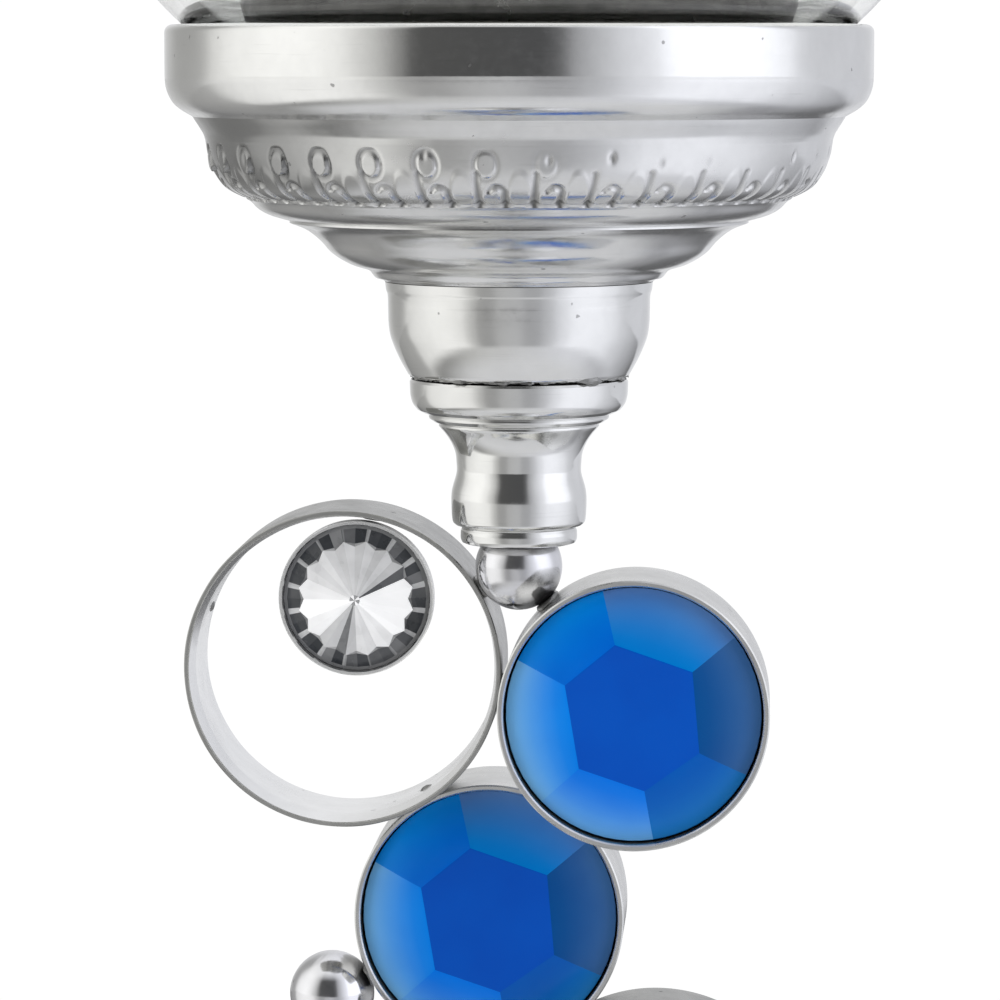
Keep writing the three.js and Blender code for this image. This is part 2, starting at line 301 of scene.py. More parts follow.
def polished_metal(name, colour, shine=0.05, haze=0.07, corner_shade=0.6, streak=(0.12, 0.12, 5.0),
                   relief=0.12, shaded_above=None):
    """Polished metal that has been handled: cloudy patches, fine polishing lines, a few dark pits, and old
    polish left in hollows, with painted shade darkening its corners and crevices. Above a height in mm,
    when one is given, its left side is darkened with painted shade."""
    mat, tree, shader = new_material(name)
    place = object_mm(tree)
    cloud = noise_of(tree, place, 0.16, 4.0, 0.6)
    lines = noise_of(tree, object_mm(tree, streak), 1.0, 3.0, 0.6)
    grain = noise_of(tree, place, 1.1, 3.0, 0.6)
    pits = ramp(tree, noise_of(tree, place, 0.9, 1.0), 0.78, 0.8)
    # Painted shade: ambient occlusion darkens the colour in corners and crevices. Below, it is mixed with
    # old polish in the stamped hollows and with dark pits.
    corner = node(tree, "AmbientOcclusion", {"Distance": 0.0016}, samples=4).outputs["AO"]
    polish_and_shade = ramp(tree, corner, 0.65, 0.1, 0.0, corner_shade)
    polish_and_shade = maths(tree, "MAXIMUM", polish_and_shade, maths(tree, "MULTIPLY", attribute(tree, "hollow"), 0.8))
    polish_and_shade = maths(tree, "MAXIMUM", polish_and_shade, maths(tree, "MULTIPLY", pits, 0.6))
    base = mix_colour(tree, ramp(tree, cloud, 0.3, 0.75), colour, scaled(colour, 0.9))
    base = mix_colour(tree, ramp(tree, lines, 0.62, 0.75, 0.0, 0.25), base, scaled(colour, 0.7))
    # Painted shade: above the given height, the colour of the left side is darkened.
    if shaded_above:
        axes = node(tree, "SeparateXYZ", {0: place}).outputs
        left = ramp(tree, maths(tree, "MULTIPLY_ADD", cloud, 8.0, axes[0]), -3.0, -19.0, kind="SMOOTHSTEP")
        upper = ramp(tree, axes[2], shaded_above, shaded_above + 2.5, kind="SMOOTHSTEP")
        base = mix_colour(tree, maths(tree, "MULTIPLY", left, upper), base, scaled(colour, 0.42))
    rough = maths(tree, "ADD", ramp(tree, cloud, 0.35, 0.7, shine, shine + haze),
                  ramp(tree, grain, 0.35, 0.7, -0.02, 0.04))
    height = maths(tree, "MULTIPLY_ADD", lines, 0.5, grain)
    feed(tree, shader, {
        "Base Color": mix_colour(tree, polish_and_shade, base, scaled(colour, 0.22)),
        "Metallic": 1.0,
        "Roughness": maths(tree, "MULTIPLY_ADD", polish_and_shade, 0.4, rough),
        "Normal": bump(tree, height, 0.02, relief),
    })
    return mat


def stone_material(name):
    """Blue foiled glass. Each facet's colour is kept in the mesh as a corner attribute, with painted light
    in it:
    the light, shade and whitish sheen that the foil's reflections give the facet.
    """
    mat, tree, shader = new_material(name)
    place = object_mm(tree)
    lit_tint = node(tree, "Attribute", attribute_name="lit_tint").outputs["Color"]
    drift = noise_of(tree, place, 0.14, 2.0)
    deeper = node(tree, "Mix", {0: 1.0, 6: lit_tint, 7: (0.82, 0.88, 0.94, 1)}, data_type="RGBA",
                  blend_type="MULTIPLY").outputs[2]
    smear = noise_of(tree, place, 1.6, 3.0)
    feed(tree, shader, {
        "Base Color": mix_colour(tree, ramp(tree, drift, 0.35, 0.7), lit_tint, deeper),
        "Roughness": ramp(tree, smear, 0.35, 0.7, 0.1, 0.2),
        "Specular IOR Level": 0.12,
        "Normal": bump(tree, smear, 0.01, 0.1),
    })
    return mat


def crystal_material(name):
    """Clear crystal over foil, its light painted in: an attribute says how bright each facet looks, with
    its reflections and glints, and the brightest facets glow a little as painted highlights.
    """
    mat, tree, shader = new_material(name)
    place = object_mm(tree)
    grain = ramp(tree, noise_of(tree, place, 0.5, 3.0), 0.3, 0.7, -0.03, 0.03)
    level = maths(tree, "ADD", attribute(tree, "facet_light"), grain)
    colour = mix_colour(tree, level, (0.02, 0.024, 0.03), (1.0, 1.0, 1.0))
    feed(tree, shader, {
        "Base Color": colour,
        "Emission Color": colour,
        "Emission Strength": ramp(tree, level, 0.7, 1.0, 0.0, 0.3),
        "Coat Weight": 0.3,
        "Coat Roughness": 0.04,
        "Roughness": ramp(tree, grain, -0.03, 0.03, 0.24, 0.36),
    })
    return mat


def clear_glass(name):
    mat, tree, shader = new_material(name)
    streak = noise_of(tree, object_mm(tree, (0.08, 0.08, 0.02)), 1.0, 2.0)
    smear = noise_of(tree, object_mm(tree), 0.1, 3.0)
    feed(tree, shader, {
        "Base Color": mix_colour(tree, streak, (0.97, 0.985, 0.98), (0.99, 0.995, 0.99)),
        "Transmission Weight": 1.0,
        "IOR": 1.5,
        "Roughness": ramp(tree, smear, 0.45, 0.75, 0.0, 0.04),
        "Normal": bump(tree, streak, 0.2, 0.15),
    })
    return mat


def plain_metal(name, colour, rough, grain=0.5):
    """Unpolished metal with a fine grain, for tin, iron, solder and hidden fittings."""
    mat, tree, shader = new_material(name)
    place = object_mm(tree)
    spots = noise_of(tree, place, 0.5, 4.0, 0.6)
    feed(tree, shader, {
        "Base Color": mix_colour(tree, ramp(tree, spots, 0.3, 0.75), colour, scaled(colour, 0.6)),
        "Metallic": 1.0,
        "Roughness": ramp(tree, spots, 0.3, 0.7, rough - 0.06, rough + 0.1),
        "Normal": bump(tree, noise_of(tree, place, 4.0, 2.0), 0.04, grain),
    })
    return mat


def soft_material(name, light, dark, scale, rough, bump_mm, subsurface=0.0):
    """Wax, cotton or felt: mottled colour and a soft uneven surface."""
    mat, tree, shader = new_material(name)
    place = object_mm(tree)
    mottle = noise_of(tree, place, scale, 5.0, 0.6)
    feed(tree, shader, {
        "Base Color": mix_colour(tree, ramp(tree, mottle, 0.3, 0.7), light, dark),
        "Roughness": ramp(tree, mottle, 0.3, 0.7, rough - 0.08, rough + 0.08),
        "Subsurface Weight": subsurface,
        "Subsurface Radius": (0.004, 0.003, 0.002),
        "Subsurface Scale": 1.0,
        "Normal": bump(tree, noise_of(tree, place, scale * 4, 3.0), bump_mm, 0.6),
    })
    return mat


def band_metal(name, colour, shine=0.24, haze=0.1, corner_shade=0.5):
    """Polished metal for a piece whose axis lies along Y, with its polishing lines round that axis."""
    return polished_metal(name, colour, shine, haze, corner_shade, (0.4, 6.0, 0.4), 0.04)


NICKEL = polished_metal("nickel", (0.82, 0.82, 0.805))
SOFT_NICKEL = polished_metal("soft_nickel", (0.82, 0.82, 0.81), 0.13, 0.08, 0.5)
SATIN = polished_metal("satin_nickel", (0.78, 0.78, 0.77), 0.15, 0.12, 0.6)
# The embossed cup's satin, with painted shade on its upper left side.
LEFT_SHADED_SATIN = polished_metal("left_shaded_satin", (0.78, 0.78, 0.77), 0.15, 0.12, 0.6, shaded_above=JOIN + CUP_LIP)
STEEL = polished_metal("steel", (0.82, 0.82, 0.84), 0.09, 0.08, 0.9, (1.0, 1.0, 1.0))
# The rings' outside, front edge and inside are one nickel in three copies: painted shade outside, less of
# it on the front edge, and painted light inside.
SHADED_BAND = band_metal("shaded_band_nickel", (0.38, 0.38, 0.365))
HALF_SHADED_BAND_EDGE = band_metal("half_shaded_band_edge", (0.54, 0.54, 0.52))
BEZEL = band_metal("bezel_nickel", (0.72, 0.72, 0.705))
LIT_BAND_INSIDE = band_metal("lit_band_inside", (0.98, 0.98, 0.97), 0.2, 0.08, 0.4)
SOLDER = plain_metal("solder", (0.40, 0.40, 0.39), 0.4)
IRON = plain_metal("iron", (0.24, 0.24, 0.26), 0.6)
# The tin is coloured near black, much darker than bare tin: painted shade for the dark inside the globe.
TIN = plain_metal("tin", (0.13, 0.127, 0.12), 0.32, 0.1)
FOIL_EDGE = plain_metal("foil_edge", (0.015, 0.018, 0.028), 0.5)
BLUE = stone_material("blue_stone")
CRYSTAL = crystal_material("crystal")
GLASS = clear_glass("clear_glass")
WAX = soft_material("wax", (0.86, 0.83, 0.74), (0.80, 0.76, 0.66), 0.15, 0.4, 0.05, 0.35)
WICK = soft_material("wick", (0.75, 0.70, 0.58), (0.50, 0.46, 0.38), 1.5, 0.9, 0.1)
FELT = soft_material("felt", (0.05, 0.055, 0.065), (0.02, 0.022, 0.028), 1.2, 0.95, 0.2)


# ---- candle dish

def rim_band():
    """Rounded off at the top, and drawn in at the bottom to a narrow ledge that sits on the cup."""
    bottom = box_mm("rim_band")[0].z
    inside, ledge, soft_below = RIM_R - 1.2, RIM_R - 3.0, 4.0
    outline = [
        (inside, bottom + 1.9), (ledge, bottom + 1.9), (ledge, bottom),
        *curve([(RIM_R - 2.95, bottom), (RIM_R - 2.45, bottom + 0.3), (RIM_R - 1.6, bottom + 0.8),
                (RIM_R - 0.85, bottom + 1.45), (RIM_R - 0.35, bottom + 2.3), (RIM_R - 0.08, bottom + 3.2),
                (RIM_R, bottom + 4.2)], 6),
        *arc((RIM_R - 0.8, RIM_TOP - 0.8), 0.8, 0, 90, 10),
        *arc((inside + 0.3, RIM_TOP - 0.3), 0.3, 90, 180, 5),
    ]
    outline, segments = held(outline), 240
    verts, faces, _ = revolve(outline, segments, closed=True)
    piece = stand_in("rim_band", verts, faces, [NICKEL, SOFT_NICKEL])
    for row, (_, z) in enumerate(outline[:-1]):
        if max(z, outline[row + 1][1]) < bottom + soft_below:
            paint_row(piece, row, segments, 1)


def dish_pan():
    low, high = box_mm("dish_pan")
    radius, floor = high.x, low.z + 1.2
    outline = [
        (0, low.z), (radius - 1.2, low.z), (radius - 0.3, low.z + 0.4), (radius, low.z + 1.2),
        (radius, high.z - 0.2), (radius - 0.45, high.z), (radius - 0.9, high.z - 0.2),
        *curve([(radius - 0.9, floor + 1.5), (radius - 1.3, floor + 0.5), (radius - 2.4, floor)], 4),
        (8, floor), (0, floor),
    ]
    verts, faces, _ = revolve(outline, 160)
    stand_in("dish_pan", verts, faces, NICKEL)


MOTIF_W, MOTIF_H = 5.7, 7.4     # one motif of the stamped gallery


def gallery(across, up, loops, legs):
    """Height in mm of the stamped pattern at one point of a motif: a loop, a stroke down from its left
    side, and a hook beside that. across counts from the motif's middle and up from its lower line; loops
    and legs say how clearly its upper and lower half are struck."""

    def groove(distance, width, depth):
        return -depth * exp(-((distance / width) ** 2))

    def inside(x, y, rx, ry):
        return min(1.0, max(0.0, 1 - (x / rx) ** 2 - (y / ry) ** 2) * 2.5)

    middle, left, right, bend, turn = up - 5.55, -1.0, 1.7, 2.4, 0.8
    centre = (left + right) / 2
    ring = abs(hypot(across / 1.1, middle / 1.5) - 1) * 1.3
    upper = groove(ring, 0.26, 0.22) + inside(across, middle, 1.0, 1.4) * (0.18 - 0.22 * middle)
    stroke = hypot(across - left, max(0.0, up - 4.6))
    hook = abs(across - right) if up < bend else abs(hypot(across - right + turn, up - bend) - turn)
    lower = groove(min(stroke, hook), 0.28, 0.26) + 0.12 * inside(across - centre, up - 1.6, 1.1, 1.9)
    lower += 0.1 * inside(abs(across - centre) - 2.85, up - 2.2, 1.25, 3.0)
    notch = hypot(abs(across - centre) - (right - left) / 2, up * 0.8)
    lower += groove(up, 0.28, 0.16) + groove(notch, 0.42, 0.25)
    return upper * loops + lower * legs


def stamped(outline, start, end, motifs, turn=0.0, clear_side=190.0):
    """Relief for revolve(): the gallery between two rows of the outline. Its loops are clear at the angle
    clear_side, in degrees, and gone on the other side, where a few deep nicks are left."""
    lengths = [0.0]
    for a, b in zip(outline, outline[1:]):
        lengths.append(lengths[-1] + dist(a, b))
    base, tall = lengths[start], lengths[end] - lengths[start]
    pick = random.Random(3)
    nicks = [(pick.uniform(-0.5, 0.5), pick.uniform(5.6, 6.9), pick.random()) for _ in range(motifs)]

    def relief(angle, index):
        if not start - 2 <= index <= end:
            return 0.0
        place = angle / TAU * motifs + turn
        across = (place % 1.0 - 0.5) * MOTIF_W
        up = (lengths[index] - base) * MOTIF_H / tall
        side = 0.5 + 0.5 * cos(angle - radians(clear_side))
        patch = ripple(angle, 2.6, index * 0.04)
        loops = min(1.0, max(0.0, 2.2 * side - 1.0 + 0.25 * patch))
        legs = min(1.0, max(0.4, 0.55 + 0.35 * side + 0.5 * patch))
        fade = min(1.0, (end - index) / 3)
        nick_x, nick_up, size = nicks[int(place) % motifs]
        near = ((across - nick_x) / 0.28) ** 2 + ((up - nick_up) / 0.5) ** 2
        nick = 0.3 * size ** 2 * exp(-near)
        return gallery(across, up, loops, legs) * fade - nick * (1 - 0.7 * side)

    return relief


def embossed_cup():
    low, high = box_mm("embossed_cup")
    j, wall, motifs = JOIN, 1.3, 34
    cove = curve([(32.5, j + 42.8), (32.2, j + 42.3), (31.75, j + 41.6), (31.4, j + 41.0),
                  (31.2, j + 40.4)], 5)
    field = curve([(31.2, j + 40.3), (30.95, j + 38.9), (30.3, j + 37.3), (29.2, j + 35.8),
                   (27.3, j + 34.75)], 12)
    lip = curve([(27.15, j + 34.6), (26.7, j + 34.3), (26.0, j + 33.6), (24.9, j + 33.0),
                 (23.2, low.z - 0.1)], 5)
    outside = [(BORE, low.z - 0.1), (22.6, low.z - 0.1), *lip[::-1], *field[::-1], *cove[::-1]]
    start = 2 + len(lip)
    end = start + len(field) - 1
    inside = [(31.5, high.z), (30.0, j + 40.3), (28.2, j + 36.2), (24, low.z + wall), (BORE, low.z + wall)]
    relief = stamped(outside + inside, start, end, motifs, 0.25)
    verts, faces, pushes = revolve(outside + inside, motifs * 40, closed=True, relief=relief)
    stand_in("embossed_cup", verts, faces, LEFT_SHADED_SATIN, pushes=pushes)


def ogee_collar():
    low, high = box_mm("ogee_collar")
    j = JOIN
    outline = [
        (BORE, low.z - 0.1), (13.3, low.z - 0.1),
        *curve([(13.5, low.z), (13.8, low.z + 0.25), (14.3, j + 26.7), (14.9, j + 27.4)], 4),
        *curve([(15.2, j + 27.55), (16.9, j + 28.1), (18.7, j + 29.2), (19.8, j + 30.4), (21.2, j + 31.5),
                (high.x, j + 32.2)], 7),
        (high.x - 0.05, high.z + 0.2), (BORE, high.z + 0.2),
    ]
    verts, faces, _ = revolve(held(outline), 200, closed=True)
    stand_in("ogee_collar", verts, faces, SOFT_NICKEL)


def bulb_knop():
    low, high = box_mm("bulb_knop")
    j = JOIN
    outline = [
        (BORE, low.z), (10.9, low.z),
        *curve([(11.1, low.z + 0.15), (11.9, j + 18.5), (12.45, j + 19.7), (12.87, j + 20.9),
                (13.05, j + 22.1), (13.1, j + 23.6), (13.15, j + 25.0), (13.3, j + 25.5),
                (high.x - 0.1, high.z + 0.2)], 6),
        (BORE, high.z + 0.2),
    ]
    verts, faces, _ = revolve(held(outline), 180, closed=True)
    stand_in("bulb_knop", verts, faces, NICKEL)


def neck_outline():
    """From the ball seat up to the collar's top and down the bolt hole; height 0 is the seat's face."""
    seat_r, seat_below = BALL_R + 0.3, 2.4
    seat_edge = degrees(asin(seat_below / seat_r))
    return [
        *arc((0, -seat_below), seat_r, 90, seat_edge, 8),
        (5.4, 0.0), *curve([(5.7, 0.12), (5.85, 0.5), (5.85, 1.3)], 3),
        *curve([(5.78, 1.42), (5.75, 1.6), (6.0, 1.8)], 3),
        *curve([(6.35, 1.88), (6.62, 2.15), (6.73, 2.7), (6.79, 3.7), (6.8, 4.6), (6.74, 5.3), (6.6, 5.9),
                (6.42, 6.5), (6.28, 7.05), (6.24, 7.5), (6.27, 8.1), (6.38, 9.1), (6.77, 10.1),
                (7.35, 11.0), (7.95, 11.7)], 5),
        *curve([(8.05, 11.85), (8.0, 12.05), (8.5, 12.25)], 3),
        *curve([(9.0, 12.6), (9.05, 12.8), (9.0, 12.95), (9.5, 13.15)], 3),
        *curve([(10.2, 13.5), (10.65, 14.1), (10.88, 14.9), (10.93, 15.6), (10.95, 16.3)], 5),
        (10.8, 16.55), (10.5, 16.6), (BORE, 16.6), (BORE, 8.0), (0, 8.0),
    ]


def upper_neck():
    verts, faces, _ = revolve(held(neck_outline(), closed=False), 160)
    stand_in("upper_neck", lifted(verts, JOIN), faces, NICKEL)


def lower_neck():
    verts, faces, _ = revolve(held(neck_outline(), closed=False), 160)
    stand_in("lower_neck", turned_over(verts, FOOT_TOP), faces, NICKEL)


def rough_seam(name, radius, height, thick):
    """Uneven, broken bead of dark solder in the joint between two turned pieces."""
    section = [(radius + thick * cos(TAU * k / 10), height + thick * sin(TAU * k / 10))
               for k in range(10)]

    def relief(angle, index):
        lump = ripple(angle, 16, index * 0.5)
        gap = ripple(angle, 5, 4.0)
        return thick * (0.9 * lump + 1.8 * gap - 0.55)

    verts, faces, _ = revolve(section, 300, closed=True, relief=relief)
    make(name, verts, faces, SOLDER)


# ---- jewelled stem

def fine_ball(index):
    x, z, _, front, back = round_of(f"ball_{index}")
    outline = arc((0, 0), BALL_R, -90, 90, 48)
    outline[0], outline[-1] = (0, -BALL_R), (0, BALL_R)

    def relief(angle, row):
        spot = Vector((cos(angle) * row * 0.1, sin(angle) * row * 0.1, row * 0.12 + index))
        return 0.02 * noise.noise(spot) - 0.02

    verts, faces, _ = revolve(outline, 96, relief=relief)
    centre = Vector((x, (front + back) / 2, z))
    stand_in(f"ball_{index}", [Vector(v) + centre for v in verts], faces, STEEL, "steel")


def fine_ring(index):
    x, z, radius, front_y, back_y = round_of(f"ring_{index}")
    bore, depth = radius - RING_WALL, back_y - front_y
    lip, edge, segments = 0.48, 0.1, 220

    def waver(angle, row):
        return 0.03 * ripple(angle, 3, index)

    outside = [(radius, -depth + edge), (radius, -depth / 2), (radius, -edge)]
    front = [(radius - edge, 0), (radius - lip + edge, 0)]
    inside = [(radius - lip, -edge), (bore, -3.0), (bore, -depth + edge)]
    back = [(bore + edge, -depth), (radius - edge, -depth)]
    outline = held([*outside, *front, *inside, *back])
    verts, faces, _ = revolve(outline, segments, closed=True, relief=waver)
    placed = laid_forward(verts, x, front_y, z)
    piece = stand_in(f"ring_{index}", placed, faces, [SHADED_BAND, LIT_BAND_INSIDE, HALF_SHADED_BAND_EDGE], sharp=40)
    # Painted light and shade: each row takes the shaded, half-shaded or lit copy of the nickel.
    for row, (r, height) in enumerate(outline):
        inner = r <= radius - lip and height > -depth + edge
        finish = 1 if inner else 2 if height >= -edge and r < radius - edge / 2 else 0
        paint_row(piece, row, segments, finish)


def fine_bezel(index):
    x, z, radius, front, back = round_of(f"bezel_{index}")
    depth = back - front
    bore, ledge, ledge_z, edge = radius - 0.6, radius - 2.4, -2.9, 0.14
    outline = [
        (bore + edge, 0), (bore, -edge), (bore, ledge_z), (ledge, ledge_z),
        (ledge, -depth - ledge_z), (bore, -depth - ledge_z), (bore, -depth + edge), (bore + edge, -depth),
        (radius - edge, -depth), (radius, -depth + edge), (radius, -edge), (radius - edge, 0),
    ]
    verts, faces, _ = revolve(outline, 200, closed=True)
    stand_in(f"bezel_{index}", laid_forward(verts, x, front, z), faces, BEZEL)


# The table's corners, in degrees from +X, counter-clockwise seen from the front. The cut isn't quite even.
TABLE_CORNERS = (38, 104, 155, 224, 279, 332)
TABLE_SIZE = 0.585
TABLE_TINT = (0.0, 0.1, 0.6)
FOIL_TINT = (0.0, 0.02, 0.08)
# The colour of each crown facet from the first corner on, with painted light and shade and a painted
# whitish
# sheen towards the girdle: by the table, then by the girdle.
CROWN = (
    ((0.0, 0.24, 0.74), (0.13, 0.28, 0.62)),
    ((0.0, 0.165, 0.75), (0.0, 0.32, 0.92)),
    ((0.0, 0.26, 0.95), (0.26, 0.64, 1.0)),
    ((0.0, 0.22, 0.94), (0.20, 0.56, 1.0)),
    ((0.0, 0.125, 0.57), (0.02, 0.28, 0.72)),
    ((0.0, 0.09, 0.34), (0.07, 0.21, 0.5)),
)


def stone_mesh(radius, girdle, rise):
    """Flat table, six crown facets sloping to the girdle, and a dark foil edge behind it, all facing +Z.
    Gives points, faces, the colour of each face's corners with painted light and shade in it, and whether a
    face is foil."""
    steps, rings = 10, 5
    foil_r, foil_z = radius + 0.17, girdle - 0.5
    verts, faces, lit_tints, foil = [], [], [], []
    corners = [radians(a) for a in TABLE_CORNERS]
    spokes = []
    for k, a in enumerate(corners):
        after = corners[(k + 1) % 6] + (TAU if k == 5 else 0)
        p, q = (Vector((cos(t), sin(t))) * TABLE_SIZE * radius for t in (a, after))
        for s in range(steps):
            t = a + (after - a) * s / steps
            spokes.append((k, p.lerp(q, s / steps), Vector((cos(t), sin(t))) * radius))
    count = len(spokes)
    for ring in range(rings + 1):
        share = ring / rings
        for _, inner, outer in spokes:
            flat = inner.lerp(outer, share)
            verts.append((flat.x, flat.y, girdle + rise * (1 - share ** 1.25)))
    faces.append(list(range(count)))
    lit_tints.append([TABLE_TINT] * count)
    foil.append(0)
    for ring in range(rings):
        for i in range(count):
            n = (i + 1) % count
            by_table, by_girdle = (Vector(lit_tint) for lit_tint in CROWN[spokes[i][0]])
            shares = [s / rings for s in (ring, ring + 1, ring + 1, ring)]
            a, b = ring * count, (ring + 1) * count
            faces.append([a + i, b + i, b + n, a + n])
            lit_tints.append([by_table.lerp(by_girdle, s ** 2) for s in shares])
            foil.append(0)
    last = rings * count
    for r, z in ((radius, foil_z), (foil_r, foil_z), (foil_r, foil_z - 0.4)):
        row = len(verts)
        verts += [(p.x * r / radius, p.y * r / radius, z) for _, _, p in spokes]
        for i in range(count):
            n = (i + 1) % count
            faces.append([last + i, row + i, row + n, last + n])
            lit_tints.append([FOIL_TINT] * 4)
            foil.append(1)
        last = row
    faces.append([last + i for i in range(count)][::-1])
    lit_tints.append([FOIL_TINT] * count)
    foil.append(1)
    return verts, faces, lit_tints, foil


def fine_stone(index, rear=False):
    x, z, radius, front, back = round_of(f"bezel_{index}")
    verts, faces, lit_tints, foil = stone_mesh(radius=radius - 0.8, girdle=-1.5, rise=2.1)
    placed = laid_back(verts, x, back, z) if rear else laid_forward(verts, x, front, z)
    name = f"rear_stone_{index}" if rear else f"stone_{index}"
    crease = 9      # degrees, so that the edges between the low crown facets count as edges
    piece = stand_in(name, placed, faces, [BLUE, FOIL_EDGE], "blue_stone", sharp=crease)
    piece.data.polygons.foreach_set("material_index", foil)
    # Each facet's colour, with its painted light, shade and sheen, goes into the mesh.
    layer = piece.data.attributes.new("lit_tint", "FLOAT_COLOR", "CORNER")
    for i, lit_tint in enumerate(lit_tint for face in lit_tints for lit_tint in face):
        layer.data[i].color = (*lit_tint, 1.0)
    soft = piece.modifiers.new("edges", "BEVEL")
    soft.width = 0.1 * MM
    soft.segments = 2
    soft.limit_method = "ANGLE"
    soft.angle_limit = radians(crease)


def crystal_cup(index):
    x, z, radius, front, back = round_of(f"crystal_cup_{index}")
    depth = back - front
    outline = [
        (0, -depth),
        *curve([(radius - 2.2, -depth), (radius - 0.9, -depth + 0.4), (radius - 0.1, -2.2)], 5),
        (radius, -1.8), (radius, -0.12), (radius - 0.12, 0), (radius - 0.34, 0),
        (radius - 0.4, -0.1), (radius - 0.4, -1.5), (radius - 2.4, -depth + 1), (0, -depth + 1),
    ]
    verts, faces, _ = revolve(outline, 120)
    # The crystal's cup takes the lit copy of the rings' nickel: painted light.
    stand_in(f"crystal_cup_{index}", laid_forward(verts, x, front, z), faces, LIT_BAND_INSIDE)


# The painted light of each of the crystal's 32 long facets: how bright its reflection looks,
# counter-clockwise from just above +X.
LONG_FACETS = [1.0, 0.1, *[0.72, 0.78] * 4, *[0.8] * 3, *[0.9] * 2, *[1.0] * 2, *[0.92] * 2, *[0.7] * 2,
               0.2, 0.7, *[0.82] * 2, *[0.9] * 2, *[1.0] * 5]


def crystal(index):
    """Pointed round crystal: long facets to the tip, then a ring of sixteen dark facets with bright slits
    between them, and a thin grey girdle. How dark or bright each facet looks is painted light and shade,
    kept in the mesh as an attribute."""
    x, z, cup_r, front, _ = round_of(f"crystal_cup_{index}")
    radius, first, sides = cup_r - 0.42, radians(12), len(LONG_FACETS)
    pick = random.Random(index)
    verts, faces, facet_lights = [(0.0, 0.0, 1.7), (0.25, 0.1, 1.66)], [], []

    def ring(radii, height):
        row = len(verts)
        for k in range(sides):
            a, r = first + TAU * k / sides, radii[k % len(radii)] * radius
            verts.append((r * cos(a), r * sin(a), height))
        return row

    tip = ring((0.07,), 1.62)
    star = ring((0.79, 0.71), 0.2)
    dark = ring((0.79, 0.75), 0.0)
    rim = ring((0.95,), -0.7)
    edge = ring((1.0,), -0.95)
    back = ring((1.0,), -1.5)
    for k in range(sides):
        n = (k + 1) % sides
        faces.append([0, tip + k, tip + n])
        facet_lights.append(1.0 if k % 8 < 3 else 0.4)
        faces.append([tip + k, star + k, star + n, tip + n])
        facet_lights.append(LONG_FACETS[(k + 7 * (index - 1)) % sides])
        faces.append([star + k, dark + k, dark + n, star + n])
        facet_lights.append(0.15 + 0.5 * pick.random())
        # The slits between the dark facets are painted glints, brightest at the sides.
        slit = 0.08 + 0.14 * abs(cos(TAU * k / sides))
        glint = 0.12 + 0.6 * abs(cos(TAU * k / sides))
        for low_share, high_share, facet_light in ((0.0, slit, glint), (slit, 1.0, None)):
            shares = (low_share, high_share) if k % 2 == 0 else (1 - high_share, 1 - low_share)
            quad = []
            for row, share in ((dark, shares[0]), (rim, shares[0]), (rim, shares[1]), (dark, shares[1])):
                p, q = Vector(verts[row + k]), Vector(verts[row + n])
                quad.append(len(verts))
                verts.append(tuple(p.lerp(q, share)))
            faces.append(quad)
            facet_lights.append(facet_light if facet_light else 0.3 * pick.random() ** 3)
        faces.append([rim + k, edge + k, edge + n, rim + n])
        facet_lights.append(0.22)
        faces.append([edge + k, back + k, back + n, edge + n])
        facet_lights.append(0.2)
    faces.append([back + k for k in range(sides)][::-1])
    facet_lights.append(0.2)
    placed = laid_forward(verts, x, front, z)
    piece = stand_in(f"crystal_{index}", placed, faces, CRYSTAL, "crystal", sharp=3)
    # How bright each facet looks, its painted light and shade, goes into the mesh.
    layer = piece.data.attributes.new("facet_light", "FLOAT", "CORNER")
    for i, facet_light in enumerate(facet_light for facet_light, face in zip(facet_lights, faces) for _ in face):
        layer.data[i].value = facet_light


def solder_joint(name, first, second):
    """Strip of solder along the line where two round pieces touch, thinnest in the middle."""
    x1, z1, r1, f1, b1 = round_of(first)
    x2, z2, r2, f2, b2 = round_of(second)
    away = Vector((x2 - x1, 0, z2 - z1))
    gap = away.length - r1 - r2
    away.normalize()
    side = Vector((-away.z, 0, away.x))
    mid = Vector((x1, 0, z1)) + away * (r1 + gap / 2)
    front, back = max(f1, f2) + 0.5, min(b1, b2) - 0.5
    half_w, rows, cols = 1.25, 16, 12
    verts = []
    for j in range(rows + 1):
        y = front + (back - front) * j / rows
        swell = 1 - 0.3 * abs(2 * j / rows - 1) ** 3 + 0.2 * noise.noise(Vector((mid.x, y * 0.6, mid.z)))
        for k in range(cols):
            a = TAU * k / cols
            t = half_w * swell * cos(a)
            reach = gap / 2 + 0.04 + t * t / 2 * (1 / r1 + 1 / r2) / 2
            if j in (0, rows):
                reach, t = reach * 0.35, t * 0.6
            off = reach * (1 if sin(a) > 0 else -1) * min(1.0, abs(sin(a)) * 2.2)
            p = mid + side * t + away * off
            verts.append((p.x, y, p.z))
    ends = [list(range(cols))[::-1], list(range(rows * cols, (rows + 1) * cols))]
    make(name, verts, tube_faces(rows, cols) + ends, SOLDER)


def solder_joints():
    pairs = [("ring_1", "bezel_1"), ("ring_1", "bezel_2"), ("ball_1", "ring_1"), ("ball_1", "bezel_1"),
             ("bezel_2", "ball_2"), ("bezel_2", "ring_2"), ("bezel_3", "ring_2"), ("bezel_3", "bezel_4"),
             ("ring_2", "bezel_4"), ("ring_2", "ball_3"), ("bezel_4", "ball_3"), ("bezel_4", "ball_4")]
    for i, (a, b) in enumerate(pairs):
        solder_joint(f"solder_joint_{i + 1}", a, b)


